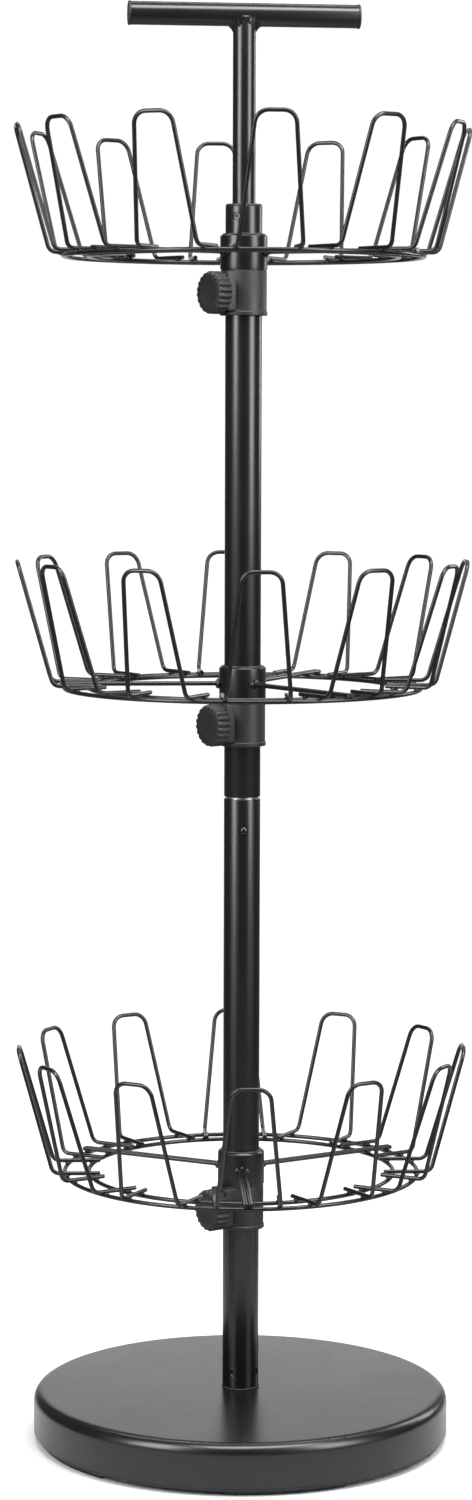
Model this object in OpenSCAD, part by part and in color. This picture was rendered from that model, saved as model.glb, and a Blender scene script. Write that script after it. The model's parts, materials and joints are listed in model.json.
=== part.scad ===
// Revolving display rack: a weighted round base, a two-piece pole with a
// T handle and three wire tiers that turn on clamped collars.
// Millimetres, +Z up, origin on the floor at the centre of the base.
// Directions round the pole are degrees from +X towards +Y.

/* [Base] */
// Outside diameter of the base cover
base_d = 292; // [240:1:340]
// Height of the cover's top face above the floor
base_h = 36; // [34:1:45]
// Radius of the cover's rounded edge
base_edge_r = 8; // [4:0.5:10]
// Sheet thickness of the cover
base_sheet_t = 1.5; // [1:0.1:2.5]
// Height of the cover's skirt edge above the floor
skirt_z = 6; // [5:0.5:8]
// Distance of the feet from the pan's edge
foot_edge = 3; // [1:0.5:10]
// Thickness of the pan's floor
pan_t = 2.5; // [2:0.1:3.5]
// Thickness of the pan's rim
pan_rim_t = 2.2; // [1.5:0.1:3]
// Height of the pan's rim above its floor
pan_rim_h = 11; // [6:0.5:14]
// Diameter of the ballast plate
weight_d = 236; // [160:1:250]
// Thickness of the ballast plate
weight_t = 9; // [6:0.5:12]
// Height of the feet under the pan
foot_h = 3; // [2:0.5:4]
// Width of each foot, measured towards the pole
foot_w = 13; // [8:0.5:18]
// Angle that each foot covers
foot_span = 34; // [15:1:50]
// Number of feet
foot_count = 5; // [3:1:6]
// Direction of the first foot
foot_turn = 211; // [0:1:359]

/* [Base bolt] */
// Shank diameter of the centre bolt
bolt_d = 8; // [6:0.5:10]
// Width across the corners of the bolt's head
bolt_head_d = 15; // [12:0.5:18]
// Height of the bolt's head
bolt_head_h = 5.3; // [4:0.1:6.5]
// Diameter of the bolt's washer
washer_d = 20; // [18:0.5:22]
// Thickness of the bolt's washer
washer_t = 1.2; // [0.8:0.1:2]
// Length of thread in the pole plug
bolt_thread_l = 22; // [12:1:30]

/* [Pole] */
// Outside diameter of both pole tubes
pole_d = 25.4; // [22:0.1:32]
// Wall of both pole tubes
pole_wall = 1.5; // [1:0.1:2]
// Height of the joint between the two tubes
joint_z = 455; // [380:1:480]
// Open gap at the joint, where the connector shows
joint_gap = 1.3; // [0.5:0.1:3]
// Height of the upper tube's top end
pole_top_z = 863.4; // [830:0.1:1050]
// Length of the connector inside the joint
connector_l = 120; // [80:1:160]
// Wall of the connector
connector_wall = 1.5; // [1:0.1:2]
// Height of the plug that the pole stands over
plug_h = 38; // [30:1:60]
// Thickness of the washer under the pole
pole_washer_t = 1.2; // [0.8:0.1:3]
// How far the washer stands out past the pole
pole_washer_lip = 0.5; // [0:0.1:2]
// Diameter of the set screws at the pole's foot
foot_screw_d = 4; // [3:0.5:5]
// Length of those screws
foot_screw_l = 5.5; // [4:0.5:7]
// Height of those screws above the base
foot_screw_rise = 12; // [8:0.5:20]
// How far those screws sit below the pole's surface
foot_screw_sink = 0.8; // [0.3:0.1:1.2]
// Direction of the first foot screw
foot_screw_turn = 241; // [0:1:359]

/* [Snap button] */
// Diameter of the button
button_d = 5.8; // [4:0.1:8]
// How far the button stands out of the pole
button_out = 2; // [1:0.1:3]
// Distance of the button below the joint
button_drop = 21.6; // [12:0.1:30]
// Direction of the button
button_turn = 275.6; // [0:0.1:359]
// Width of the spring clip
clip_w = 8; // [5:0.5:9]
// Thickness of the spring clip
clip_t = 0.6; // [0.4:0.1:1]
// Length of the clip's legs below the button
clip_l = 16; // [10:0.5:30]
// Spread of the clip's two legs
clip_spread = 13; // [8:0.1:13]

/* [Handle] */
// Height of the cross tube's axis above the pole's top
handle_rise = 129.6; // [80:0.1:200]
// Outside diameter of the upright rod
rod_d = 15.8; // [12:0.1:15.8]
// Wall of the rod and the cross tube
handle_wall = 1.2; // [0.8:0.1:2]
// Length of rod inside the pole
rod_depth = 78; // [50:1:120]
// Outside diameter of the cross tube
bar_d = 16; // [12:0.1:20]
// Length of the cross tube
bar_l = 157; // [120:1:220]
// Direction of the cross tube's right end
bar_turn = 8; // [0:1:90]
// Thickness of the end plugs' rims
plug_rim_t = 1.5; // [1:0.1:3]
// How far the rims stand out past the cross tube
plug_rim_lip = 0.35; // [0:0.05:1]
// Length of each plug inside the tube
plug_depth = 12; // [6:1:20]
// Size of the weld fillets under the cross tube
handle_weld_r = 4.2; // [2:0.1:6]
// Length of the top bushing inside the pole
bushing_l = 20; // [14:1:40]
// Length of the guide at the rod's lower end
guide_l = 10; // [6:1:20]
// Thickness of the top bushing's flange
bushing_flange_t = 1.6; // [1:0.1:3]
// Diameter of the set screw that holds the rod
rod_screw_d = 5; // [4:0.5:6]
// Distance of that screw below the pole's top
rod_screw_drop = 7; // [5:0.5:12]
// How far that screw sits below the pole's surface
rod_screw_sink = 1.1; // [0.3:0.1:1.2]
// Direction of that screw
rod_screw_turn = 245; // [0:1:359]

/* [Tier places] */
// Height of the bottom collar's top face
bottom_z = 181.5; // [120:0.5:240]
// Height of the middle collar's top face
middle_z = 522.5; // [495:0.5:560]
// Height of the top collar's top face
top_z = 819.5; // [700:0.5:826]
// Direction of the bottom tier's first spoke
bottom_turn = 32.4; // [0:0.1:359]
// Direction of the middle tier's first spoke
middle_turn = 64.7; // [0:0.1:359]
// Direction of the top tier's first spoke
top_turn = 97.7; // [0:0.1:359]

/* [Tiers] */
// Wall of the bush between the pole and the hub
bush_wall = 1.7; // [1.2:0.1:3]
// Height of the hub sleeve
hub_h = 24; // [18:0.5:30]
// Wall of the hub sleeve
hub_wall = 1.8; // [1.2:0.1:2]
// Chamfer round the hub's top edge
hub_chamfer = 1.2; // [0.5:0.1:1.5]
// Thickness of the bush's flange, which turns on the collar
bush_flange_t = 0.8; // [0.5:0.1:2]
// How far the bush's flange stays inside the hub's edge
bush_flange_in = 0.6; // [0.2:0.1:1.5]
// How far the bush stands out above the hub
bush_lip = 0.6; // [0.3:0.1:2]
// Diameter of all the wire
wire_d = 3; // [2.5:0.1:4]
// Middle radius of the outer ring
outer_ring_r = 124; // [110:1:150]
// Middle radius of the inner ring
inner_ring_r = 107; // [80:1:108]
// How far the spokes run past the outer ring
spoke_over = 3; // [1:0.5:5]
// Gap between the two wires of a spoke
spoke_gap = 0.2; // [0.1:0.1:2]

/* [Loops] */
// Height of the loops above the rings
loop_h = 87.5; // [60:0.5:130]
// How far the loops' legs start outside the outer ring
leg_out = 8; // [7:0.5:14]
// How far the loops' tops lean out past the legs' feet
loop_lean = 24; // [0:0.5:40]
// Width of a loop at its feet
loop_foot_w = 43; // [34:0.5:48]
// Width of a loop at its top
loop_top_w = 26; // [24:0.5:34]
// Bend radius of the top corners
loop_top_bend = 9; // [5:0.5:10]
// Bend radius between a leg and its foot
loop_foot_bend = 6; // [4:0.5:6]
// How far the loops' feet run inside the inner ring
foot_in = 8; // [3:0.5:12]

/* [Clamps] */
// Wall of the collar
collar_wall = 3.15; // [2.8:0.05:6]
// Height of the collar
collar_h = 30.5; // [26:0.5:36]
// How far the collar's lower lip stands out
collar_lip = 0.5; // [0.2:0.1:2]
// Height of that lip
collar_lip_h = 3; // [2:0.5:5]
// Width of the boss that takes the clamp screw
boss_w = 17; // [14:0.5:20]
// How far the boss stands out of the collar
boss_out = 4.1; // [3.5:0.1:10]
// How far the boss ends below the collar's top face
boss_drop = 0.6; // [0.2:0.1:2]
// Diameter of the clamp screw
stud_d = 5.9; // [4:0.1:6.5]
// Outside diameter of the threaded insert
insert_d = 10; // [8.5:0.5:12]
// Collar wall left between the insert and the pole
insert_back = 1.85; // [1:0.05:2.5]
// Length of the pad at the screw's tip
pad_l = 2.5; // [1.5:0.1:4]
// Diameter of the clamp knob
knob_d = 29.4; // [22:0.1:40]
// Thickness of the clamp knob
knob_t = 10.6; // [8.5:0.1:16]
// How far the clamp screw runs into the knob
knob_hole = 7.4; // [4:0.1:7.5]
// Number of flutes round the knob
knob_flutes = 20; // [8:1:24]
// Radius of each flute
flute_r = 1.6; // [0.8:0.1:2]
// Chamfer round the knob's face
knob_chamfer = 1.4; // [0.5:0.1:2.5]
// Direction of the three knobs
knob_turn = 218; // [0:1:359]

/* [Fits] */
// Gap all round between the collars and the pole
slide_fit = 0.05; // [0.03:0.01:0.2]
// Gap all round between the bushes and the pole
turn_fit = 0.1; // [0.05:0.01:0.3]
// Gap all round between the tubes and what plugs into them
plug_fit = 0.05; // [0.02:0.01:0.2]
// Gap all round between the clamp screw and its thread
stud_fit = 0.05; // [0.03:0.01:0.15]
// Gap all round between the button and its holes
button_fit = 0.1; // [0.05:0.01:0.3]
// Gap all round between the pole's set screws and the holes in its wall
screw_fit = 0.3; // [0.1:0.05:0.5]
// Gap all round between the centre bolt and what it passes through
bolt_fit = 0.3; // [0.1:0.05:0.5]
// Gap all round between the bolt's washer and its recess
washer_fit = 0.5; // [0.2:0.1:1]
// Gap between the pan and the cover's skirt
pan_fit = 0.3; // [0.1:0.1:1]
// Gap between the boss and the knob
knob_fit = 0.2; // [0.1:0.1:1]
// How far crossing wires sink into each other at a weld
weld_sink = 0.05; // [0:0.01:0.1]

/* [Hidden] */
$fn = 64;
over = 1;
// size of the swells that join the stretches of a wire
swell_l = 0.6;
swell_r = 0.03;
// radius of the button's dome as a share of its diameter
dome_share = 0.62;
// how far the flutes' centres stand off the knob's rim, as a share of their radius
flute_share = 0.45;
// how far the top bushing's flange stays inside the pole's surface
bushing_flange_in = 0.2;
// gap between the rod and the foot of the weld fillets
weld_foot = 0.2;
// how far the weld fillets stand out past the cross tube's sides
weld_over = 0.6;
black = [0.13, 0.13, 0.14];
satin = [0.22, 0.22, 0.23];
moulded = [0.17, 0.17, 0.18];
zinc = [0.75, 0.76, 0.78];
brass = [0.72, 0.58, 0.3];

pole_r = pole_d / 2;
pole_bore_r = pole_r - pole_wall;
pole_foot_z = base_h + pole_washer_t;
upper_foot_z = joint_z + joint_gap;
connector_z = joint_z + joint_gap / 2 - connector_l / 2;
connector_r = pole_bore_r - plug_fit;
button_z = joint_z - button_drop;
button_hole_r = button_d / 2 + button_fit;
button_seat_r = connector_r - connector_wall - 1;
bar_z = pole_top_z + handle_rise;
rod_foot_z = pole_top_z - rod_depth;
rod_screw_z = pole_top_z - rod_screw_drop;
weight_z = base_h - base_sheet_t - weight_t;
washer_z = foot_h + pan_t + bolt_head_h;
bolt_hole_r = bolt_d / 2 + bolt_fit;
foot_screw_r2 = pole_r - foot_screw_sink;
foot_screw_r1 = foot_screw_r2 - foot_screw_l;
cover_r = base_d / 2;
pan_r = cover_r - base_sheet_t - pan_fit;
hub_bore_r = pole_r + turn_fit + bush_wall;
hub_r = hub_bore_r + hub_wall;
spoke_z = bush_flange_t + hub_h / 2;
ring_z = spoke_z - wire_d + weld_sink;
leg_r = outer_ring_r + leg_out;
collar_bore_r = pole_r + slide_fit;
collar_r = collar_bore_r + collar_wall;
boss_r = collar_r + boss_out;
insert_r = collar_bore_r + insert_back;
knob_z = -collar_h / 2;
insert_bore_r = stud_d / 2 + stud_fit;
knob_back_r = boss_r + knob_fit;

function unit(v) = v / norm(v);
function turn_at(a, p, b) = acos(unit(p - a) * unit(b - p));
function trim_at(a, p, b, r) = r * tan(turn_at(a, p, b) / 2);

// Upright tube
module tube(r_out, r_in, h) {
    difference() {
        cylinder(r = r_out, h = h);
        translate([0, 0, -over]) cylinder(r = r_in, h = h + 2 * over);
    }
}

// Round bar lying along +X in the given direction, from radius r1 to radius r2
module radial_bar(r, r1, r2, z, turn) {
    rotate([0, 0, turn]) translate([r1, 0, z]) rotate([0, 90, 0]) cylinder(r = r, h = r2 - r1);
}

// Straight stretch of wire between two points
module straight_wire(a, b) {
    v = b - a;
    translate(a) rotate([0, acos(v.z / norm(v)), atan2(v.y, v.x)])
        cylinder(d = wire_d, h = norm(v));
}

// Bend of the wire at corner p, coming from a and going on to b
module bent_wire(a, p, b, r) {
    u = unit(p - a);
    start = p - u * trim_at(a, p, b, r);
    centre = p + unit(unit(b - p) - u) * r / cos(turn_at(a, p, b) / 2);
    e = (start - centre) / r;
    n = cross(e, u);
    multmatrix([[e.x, u.x, n.x, centre.x], [e.y, u.y, n.y, centre.y], [e.z, u.z, n.z, centre.z]])
        rotate_extrude(angle = turn_at(a, p, b)) translate([r, 0]) circle(d = wire_d);
}

// Short swell that joins a straight stretch and a bend
module swell(at, d) {
    straight = swell_l * d / 2;
    translate(at - straight) rotate([0, acos(d.z), atan2(d.y, d.x)])
        cylinder(r = wire_d / 2 + swell_r, h = swell_l);
}

// Wire through the points of a path, with a bend radius for each point
module wire(path, bends) {
    last = len(path) - 1;
    trims = [for (i = [0:last])
        i == 0 || i == last ? 0 : trim_at(path[i - 1], path[i], path[i + 1], bends[i])];
    for (i = [0:last - 1]) {
        d = unit(path[i + 1] - path[i]);
        start = path[i] + d * trims[i];
        end = path[i + 1] - d * trims[i + 1];
        straight_wire(start + d * (i == 0 ? 0 : swell_l / 6), end - d * (i == last - 1 ? 0 : swell_l / 6));
        if (i > 0) swell(start, d);
        if (i < last - 1) swell(end, d);
    }
    for (i = [1:last - 1]) bent_wire(path[i - 1], path[i], path[i + 1], bends[i]);
}

// ---- base ----

module cover_outline(r, h, edge) {
    square([r - edge, h]);
    square([r, h - edge]);
    translate([r - edge, h - edge]) circle(r = edge);
}

module base_cover() {
    inner_edge = base_edge_r - base_sheet_t;
    color(satin) difference() {
        rotate_extrude() intersection() {
            cover_outline(cover_r, base_h, base_edge_r);
            translate([0, skirt_z]) square([cover_r, base_h]);
        }
        rotate_extrude() cover_outline(cover_r - base_sheet_t, base_h - base_sheet_t, inner_edge);
        cylinder(r = bolt_hole_r, h = base_h + over);
    }
}

module base_weight() {
    color(black) translate([0, 0, weight_z]) tube(weight_d / 2, bolt_hole_r, weight_t);
}

module base_pan() {
    boss_r1 = washer_d / 2 + washer_fit;
    color(black) difference() {
        union() {
            translate([0, 0, foot_h]) cylinder(r = pan_r, h = pan_t);
            translate([0, 0, foot_h]) tube(pan_r, pan_r - pan_rim_t, pan_t + pan_rim_h);
            translate([0, 0, foot_h]) cylinder(r = boss_r1 + pan_t, h = weight_z - foot_h);
        }
        translate([0, 0, foot_h - over])
            cylinder(r = boss_r1, h = washer_z + washer_t - foot_h + over);
        cylinder(r = bolt_hole_r, h = base_h);
    }
}

module base_feet() {
    r_out = pan_r - foot_edge;
    color(black) for (i = [0:foot_count - 1])
        rotate([0, 0, foot_turn - foot_span / 2 + i * 360 / foot_count])
            rotate_extrude(angle = foot_span) translate([r_out - foot_w, 0]) square([foot_w, foot_h]);
}

module centre_bolt() {
    color(zinc) {
        translate([0, 0, washer_z - bolt_head_h]) cylinder(d = bolt_head_d, h = bolt_head_h, $fn = 6);
        translate([0, 0, washer_z - over]) cylinder(d = bolt_d, h = base_h + bolt_thread_l - washer_z + over);
    }
}

module bolt_washer() {
    color(zinc) translate([0, 0, washer_z]) tube(washer_d / 2, bolt_hole_r, washer_t);
}

// ---- pole ----

module foot_screw_holes(r, r1, r2) {
    for (i = [0:3])
        radial_bar(r, r1, r2, base_h + foot_screw_rise, foot_screw_turn + 90 * i);
}

module pole_plug() {
    color(zinc) difference() {
        translate([0, 0, base_h]) cylinder(r = pole_bore_r - plug_fit, h = plug_h);
        translate([0, 0, base_h - over]) cylinder(d = bolt_d, h = bolt_thread_l + over);
        foot_screw_holes(foot_screw_d / 2, foot_screw_r1, pole_r);
    }
}

module foot_screws() {
    color(zinc) foot_screw_holes(foot_screw_d / 2, foot_screw_r1, foot_screw_r2);
}

module pole_washer() {
    color(black) translate([0, 0, base_h])
        tube(pole_r + pole_washer_lip, pole_bore_r, pole_washer_t);
}

module lower_pole() {
    color(satin) difference() {
        translate([0, 0, pole_foot_z]) tube(pole_r, pole_bore_r, joint_z - pole_foot_z);
        foot_screw_holes(foot_screw_d / 2 + screw_fit, 5, pole_r + over);
        radial_bar(button_hole_r, 5, pole_r + over, button_z, button_turn);
    }
}

module upper_pole() {
    color(satin) difference() {
        translate([0, 0, upper_foot_z]) tube(pole_r, pole_bore_r, pole_top_z - upper_foot_z);
        radial_bar(rod_screw_d / 2 + plug_fit, 5, pole_r + over, rod_screw_z, rod_screw_turn);
    }
}

module pole_connector() {
    color(zinc) difference() {
        translate([0, 0, connector_z]) tube(connector_r, connector_r - connector_wall, connector_l);
        radial_bar(button_hole_r, 5, pole_r, button_z, button_turn);
    }
}

module snap_button() {
    dome_r = button_d * dome_share;
    tip = pole_r + button_out;
    color(zinc) rotate([0, 0, button_turn]) translate([0, 0, button_z]) intersection() {
        translate([button_seat_r, 0, 0]) rotate([0, 90, 0])
            cylinder(d = button_d, h = tip - button_seat_r);
        union() {
            translate([tip - dome_r, 0, 0]) sphere(r = dome_r);
            translate([button_seat_r - over, -button_d, -button_d])
                cube([tip - dome_r - button_seat_r + over, 2 * button_d, 2 * button_d]);
        }
    }
}

module snap_clip() {
    bend_r = clip_spread / 2;
    color(zinc) rotate([0, 0, button_turn]) translate([button_seat_r - bend_r, clip_w / 2, button_z])
        rotate([90, 0, 0]) linear_extrude(clip_w) {
            difference() {
                translate([0, -clip_l]) circle(r = bend_r);
                translate([0, -clip_l]) circle(r = bend_r - clip_t);
                translate([-bend_r - over, -clip_l]) square([clip_spread + 2 * over, bend_r + over]);
            }
            translate([bend_r - clip_t, -clip_l]) square([clip_t, clip_l + button_d]);
            translate([-bend_r, -clip_l]) square([clip_t, clip_l]);
        }
}

// ---- handle ----

module top_bushing() {
    color(moulded) difference() {
        union() {
            translate([0, 0, pole_top_z - bushing_l])
                cylinder(r = pole_bore_r - plug_fit, h = bushing_l + over);
            translate([0, 0, pole_top_z]) cylinder(r = pole_r - bushing_flange_in, h = bushing_flange_t);
        }
        translate([0, 0, rod_foot_z])
            cylinder(r = rod_d / 2 + plug_fit, h = rod_depth + bushing_flange_t + over);
        radial_bar(rod_screw_d / 2, 5, pole_r, rod_screw_z, rod_screw_turn);
    }
}

module lower_guide() {
    color(moulded) translate([0, 0, rod_foot_z])
        tube(pole_bore_r - plug_fit, rod_d / 2 + plug_fit, guide_l);
}

module rod_screw() {
    color(zinc) radial_bar(rod_screw_d / 2, rod_d / 2, pole_r - rod_screw_sink,
        rod_screw_z, rod_screw_turn);
}

module bar_shape(r, l) {
    rotate([0, 0, bar_turn]) translate([-l / 2, 0, bar_z]) rotate([0, 90, 0]) cylinder(r = r, h = l);
}

module handle_rod() {
    color(satin) difference() {
        translate([0, 0, rod_foot_z]) tube(rod_d / 2, rod_d / 2 - handle_wall, bar_z - rod_foot_z);
        bar_shape(bar_d / 2, bar_l);
    }
}

module handle_bar() {
    color(satin) difference() {
        bar_shape(bar_d / 2, bar_l);
        bar_shape(bar_d / 2 - handle_wall, bar_l + 2 * over);
    }
}

module handle_weld() {
    under_z = bar_z - bar_d / 2;
    color(satin) difference() {
        translate([0, 0, under_z - handle_weld_r]) cylinder(r1 = rod_d / 2 + weld_foot,
            r2 = rod_d / 2 + weld_foot + handle_weld_r, h = handle_weld_r * 1.3);
        translate([0, 0, rod_foot_z]) cylinder(d = rod_d, h = rod_depth + handle_rise);
        bar_shape(bar_d / 2, bar_l);
        rotate([0, 0, bar_turn]) for (side = [-1, 1])
            translate([0, side * (bar_d * 1.5 + weld_over), bar_z])
                cube([bar_l, 2 * bar_d, 2 * bar_d], center = true);
    }
}

module handle_plugs() {
    color(moulded) for (side = [0, 1]) rotate([0, 0, bar_turn + 180 * side])
        translate([bar_l / 2, 0, bar_z]) rotate([0, 90, 0]) {
            cylinder(r = bar_d / 2 + plug_rim_lip, h = plug_rim_t);
            translate([0, 0, -plug_depth])
                cylinder(r = bar_d / 2 - handle_wall - plug_fit, h = plug_depth + plug_rim_t / 2);
        }
}

// ---- tiers ----

module hub(z) {
    color(satin) translate([0, 0, z + bush_flange_t]) difference() {
        union() {
            cylinder(r = hub_r, h = hub_h - hub_chamfer);
            translate([0, 0, hub_h - hub_chamfer])
                cylinder(r1 = hub_r, r2 = hub_r - hub_chamfer, h = hub_chamfer);
        }
        translate([0, 0, -over]) cylinder(r = hub_bore_r, h = hub_h + 2 * over);
    }
}

module hub_bush(z) {
    color(moulded) translate([0, 0, z]) difference() {
        union() {
            cylinder(r = hub_r - bush_flange_in, h = bush_flange_t);
            cylinder(r = hub_bore_r, h = bush_flange_t + hub_h + bush_lip);
        }
        translate([0, 0, -over])
            cylinder(r = pole_r + turn_fit, h = bush_flange_t + hub_h + bush_lip + 2 * over);
    }
}

module wire_ring(r, z) {
    color(satin) translate([0, 0, z + ring_z]) rotate_extrude() translate([r, 0]) circle(d = wire_d);
}

module spokes(z, turn) {
    side_step = (wire_d + spoke_gap) / 2;
    color(satin) difference() {
        for (i = [0:2]) rotate([0, 0, turn + 120 * i]) for (side = [-1, 1])
            translate([0, side * side_step, z + spoke_z]) rotate([0, 90, 0])
                cylinder(d = wire_d, h = outer_ring_r + spoke_over);
        translate([0, 0, z]) cylinder(r = hub_r, h = hub_h + 2 * bush_flange_t);
    }
}

module loop() {
    foot_z = ring_z + wire_d - weld_sink;
    foot = loop_foot_w / 2;
    top = loop_top_w / 2;
    wire(
        [[inner_ring_r - foot_in, -foot, foot_z], [leg_r, -foot, foot_z],
         [leg_r + loop_lean, -top, ring_z + loop_h], [leg_r + loop_lean, top, ring_z + loop_h],
         [leg_r, foot, foot_z], [inner_ring_r - foot_in, foot, foot_z]],
        [0, loop_foot_bend, loop_top_bend, loop_top_bend, loop_foot_bend, 0]);
}

// Four loops, from one spoke to the next
module loops(z, turn, third) {
    color(satin) translate([0, 0, z]) for (i = [0:3])
        rotate([0, 0, turn + 120 * third + 30 * i]) loop();
}

// ---- clamps ----

module collar(z) {
    lip_r = collar_r + collar_lip;
    color(moulded) translate([0, 0, z - collar_h]) difference() {
        union() {
            cylinder(r = collar_r, h = collar_h);
            cylinder(r = lip_r, h = collar_lip_h - collar_lip);
            translate([0, 0, collar_lip_h - collar_lip])
                cylinder(r1 = lip_r, r2 = collar_r, h = collar_lip);
            rotate([0, 0, knob_turn]) translate([0, -boss_w / 2, collar_lip_h])
                cube([boss_r, boss_w, collar_h - collar_lip_h - boss_drop]);
        }
        translate([0, 0, -over]) cylinder(r = collar_bore_r, h = collar_h + 2 * over);
        radial_bar(insert_bore_r, 5, boss_r + over, collar_h + knob_z, knob_turn);
        radial_bar(insert_d / 2, insert_r, boss_r + over, collar_h + knob_z, knob_turn);
    }
}

module insert(z) {
    color(brass) difference() {
        radial_bar(insert_d / 2, insert_r, boss_r, z + knob_z, knob_turn);
        radial_bar(insert_bore_r, insert_r - over, boss_r + over, z + knob_z, knob_turn);
    }
}

module clamp_pad(z) {
    color(brass) radial_bar(stud_d / 2 - stud_fit, collar_bore_r, collar_bore_r + pad_l,
        z + knob_z, knob_turn);
}

module clamp_stud(z) {
    color(zinc) radial_bar(stud_d / 2, collar_bore_r + pad_l, knob_back_r + knob_hole,
        z + knob_z, knob_turn);
}

module knob(z) {
    color(moulded) rotate([0, 0, knob_turn]) translate([knob_back_r, 0, z + knob_z]) rotate([0, 90, 0])
        difference() {
            union() {
                cylinder(d = knob_d, h = knob_t - knob_chamfer);
                translate([0, 0, knob_t - knob_chamfer])
                    cylinder(r1 = knob_d / 2, r2 = knob_d / 2 - knob_chamfer, h = knob_chamfer);
            }
            translate([0, 0, -over]) cylinder(d = stud_d, h = knob_hole + over);
            for (i = [0:knob_flutes - 1]) rotate([0, 0, i * 360 / knob_flutes])
                translate([knob_d / 2 + flute_r * flute_share, 0, -over])
                    cylinder(r = flute_r, h = knob_t + 2 * over, $fn = 24);
        }
}

base_cover();
base_weight();
base_pan();
base_feet();
centre_bolt();
bolt_washer();
pole_plug();
foot_screws();
pole_washer();
lower_pole();
upper_pole();
pole_connector();
snap_button();
snap_clip();
top_bushing();
lower_guide();
rod_screw();
handle_rod();
handle_bar();
handle_weld();
handle_plugs();

hub(bottom_z);  // bottom_hub
hub_bush(bottom_z);  // bottom_hub_bush
wire_ring(outer_ring_r, bottom_z);  // bottom_outer_ring
wire_ring(inner_ring_r, bottom_z);  // bottom_inner_ring
spokes(bottom_z, bottom_turn);  // bottom_spokes
loops(bottom_z, bottom_turn, 0);  // bottom_loops_a
loops(bottom_z, bottom_turn, 1);  // bottom_loops_b
loops(bottom_z, bottom_turn, 2);  // bottom_loops_c
collar(bottom_z);  // bottom_collar
insert(bottom_z);  // bottom_insert
clamp_pad(bottom_z);  // bottom_clamp_pad
clamp_stud(bottom_z);  // bottom_clamp_stud
knob(bottom_z);  // bottom_knob

hub(middle_z);  // middle_hub
hub_bush(middle_z);  // middle_hub_bush
wire_ring(outer_ring_r, middle_z);  // middle_outer_ring
wire_ring(inner_ring_r, middle_z);  // middle_inner_ring
spokes(middle_z, middle_turn);  // middle_spokes
loops(middle_z, middle_turn, 0);  // middle_loops_a
loops(middle_z, middle_turn, 1);  // middle_loops_b
loops(middle_z, middle_turn, 2);  // middle_loops_c
collar(middle_z);  // middle_collar
insert(middle_z);  // middle_insert
clamp_pad(middle_z);  // middle_clamp_pad
clamp_stud(middle_z);  // middle_clamp_stud
knob(middle_z);  // middle_knob

hub(top_z);  // top_hub
hub_bush(top_z);  // top_hub_bush
wire_ring(outer_ring_r, top_z);  // top_outer_ring
wire_ring(inner_ring_r, top_z);  // top_inner_ring
spokes(top_z, top_turn);  // top_spokes
loops(top_z, top_turn, 0);  // top_loops_a
loops(top_z, top_turn, 1);  // top_loops_b
loops(top_z, top_turn, 2);  // top_loops_c
collar(top_z);  // top_collar
insert(top_z);  // top_insert
clamp_pad(top_z);  // top_clamp_pad
clamp_stud(top_z);  // top_clamp_stud
knob(top_z);  // top_knob
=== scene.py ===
import json
import math

import bmesh
import bpy
from bpy.props import FloatProperty, FloatVectorProperty, IntProperty, PointerProperty, StringProperty
from mathutils import Matrix, Vector


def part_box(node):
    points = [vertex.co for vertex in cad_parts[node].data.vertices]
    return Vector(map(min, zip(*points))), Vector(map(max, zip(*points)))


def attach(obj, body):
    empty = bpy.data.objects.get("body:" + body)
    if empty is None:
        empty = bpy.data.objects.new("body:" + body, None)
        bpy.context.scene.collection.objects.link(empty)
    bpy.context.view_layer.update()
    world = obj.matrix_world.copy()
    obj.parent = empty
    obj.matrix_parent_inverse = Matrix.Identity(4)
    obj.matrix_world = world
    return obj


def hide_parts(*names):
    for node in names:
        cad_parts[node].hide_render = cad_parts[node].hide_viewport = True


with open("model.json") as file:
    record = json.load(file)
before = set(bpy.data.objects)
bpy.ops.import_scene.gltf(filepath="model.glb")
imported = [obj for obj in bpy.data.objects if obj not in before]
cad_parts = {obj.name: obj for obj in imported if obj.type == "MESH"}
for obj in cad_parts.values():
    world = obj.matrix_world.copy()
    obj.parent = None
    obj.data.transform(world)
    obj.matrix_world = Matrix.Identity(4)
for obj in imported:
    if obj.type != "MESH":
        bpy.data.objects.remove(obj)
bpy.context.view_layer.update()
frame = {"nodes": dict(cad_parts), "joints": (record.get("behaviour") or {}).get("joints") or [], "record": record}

bl_info = {
    "name": "Revolving display rack",
    "version": (1, 0, 0),
    "blender": (4, 5, 0),
    "location": "3D View > Sidebar > Rack",
    "description": "Builds a weighted pole rack with three turning wire tiers around its packed frame",
    "category": "Object",
}

MM = 0.001
TIERS = ("bottom", "middle", "top")


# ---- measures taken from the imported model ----

def low(node):
    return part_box(node)[0]


def high(node):
    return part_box(node)[1]


def centre_z(node):
    return (low(node).z + high(node).z) / 2


def width_x(node):
    return high(node).x - low(node).x


def half_height(node):
    return (high(node).z - low(node).z) / 2


def joint_axis(name):
    """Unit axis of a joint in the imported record."""
    return Vector(next(j["axis"] for j in frame["joints"] if j["name"] == name)).normalized()


WIRE_R = half_height("bottom_outer_ring")
OUTER_R = width_x("bottom_outer_ring") / 2 - WIRE_R
INNER_R = width_x("bottom_inner_ring") / 2 - WIRE_R
POLE_R = width_x("lower_pole") / 2
HUB_R = width_x("bottom_hub") / 2
BAR_R = half_height("handle_bar")


# ---- settings ----

def length(label, about, value):
    return FloatProperty(name=label, description=about, default=value, unit="LENGTH")


def angle(label, about, degrees):
    return FloatProperty(name=label, description=about, default=math.radians(degrees), subtype="ANGLE")


def number(label, about, value):
    return IntProperty(name=label, description=about, default=value)


def colour(label, about, value):
    return StringProperty(name=label, description=about + ", sRGB hex", default=value)


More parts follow.
